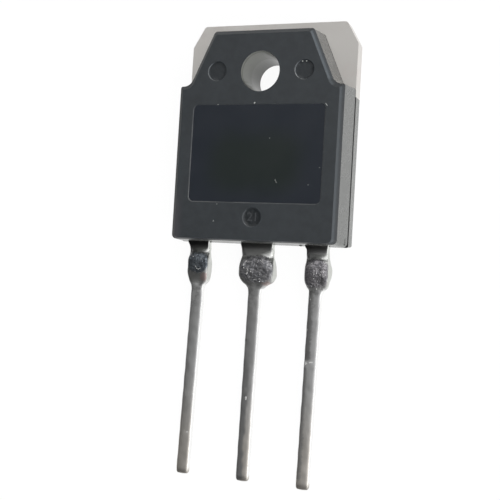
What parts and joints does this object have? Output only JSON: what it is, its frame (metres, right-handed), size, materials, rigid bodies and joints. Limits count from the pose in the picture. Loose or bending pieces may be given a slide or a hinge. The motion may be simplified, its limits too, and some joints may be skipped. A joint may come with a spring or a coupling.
{
  "type": "igbt transistor",
  "caption": "Plate-backed power transistor in a moulded epoxy body with a screw hole, a bare metal top edge and long leads with solder left on their shoulders.",
  "frame": {"origin": "axis of the mounting hole, on the metal back", "axes": "+Z out of the front face and along the hole, +Y towards the plate's bare top edge, leads along -Y"},
  "size_m": [0.0156, 0.0407, 0.0047],
  "materials": {
    "epoxy": "matte moulded epoxy",
    "plate_metal": "satin tin plating on copper",
    "lead_metal": "dull tin plating on copper",
    "solder": "dull, uneven old solder",
    "die_attach": "satin solder",
    "silicon": "smooth dark silicon",
    "bond_wire": "bright drawn aluminium"
  },
  "bodies": {
    "root": {"epoxy_body": "epoxy", "collector_plate": "plate_metal", "gate_lead": "lead_metal", "emitter_lead": "lead_metal", "die_attach_solder": "die_attach", "igbt_die": "silicon", "gate_wire": "bond_wire", "emitter_wire_1": "bond_wire", "emitter_wire_2": "bond_wire", "emitter_wire_3": "bond_wire", "solder_on_gate_lead": "solder", "solder_on_collector_lead": "solder", "solder_on_emitter_lead": "solder"}
  },
  "joints": []
}
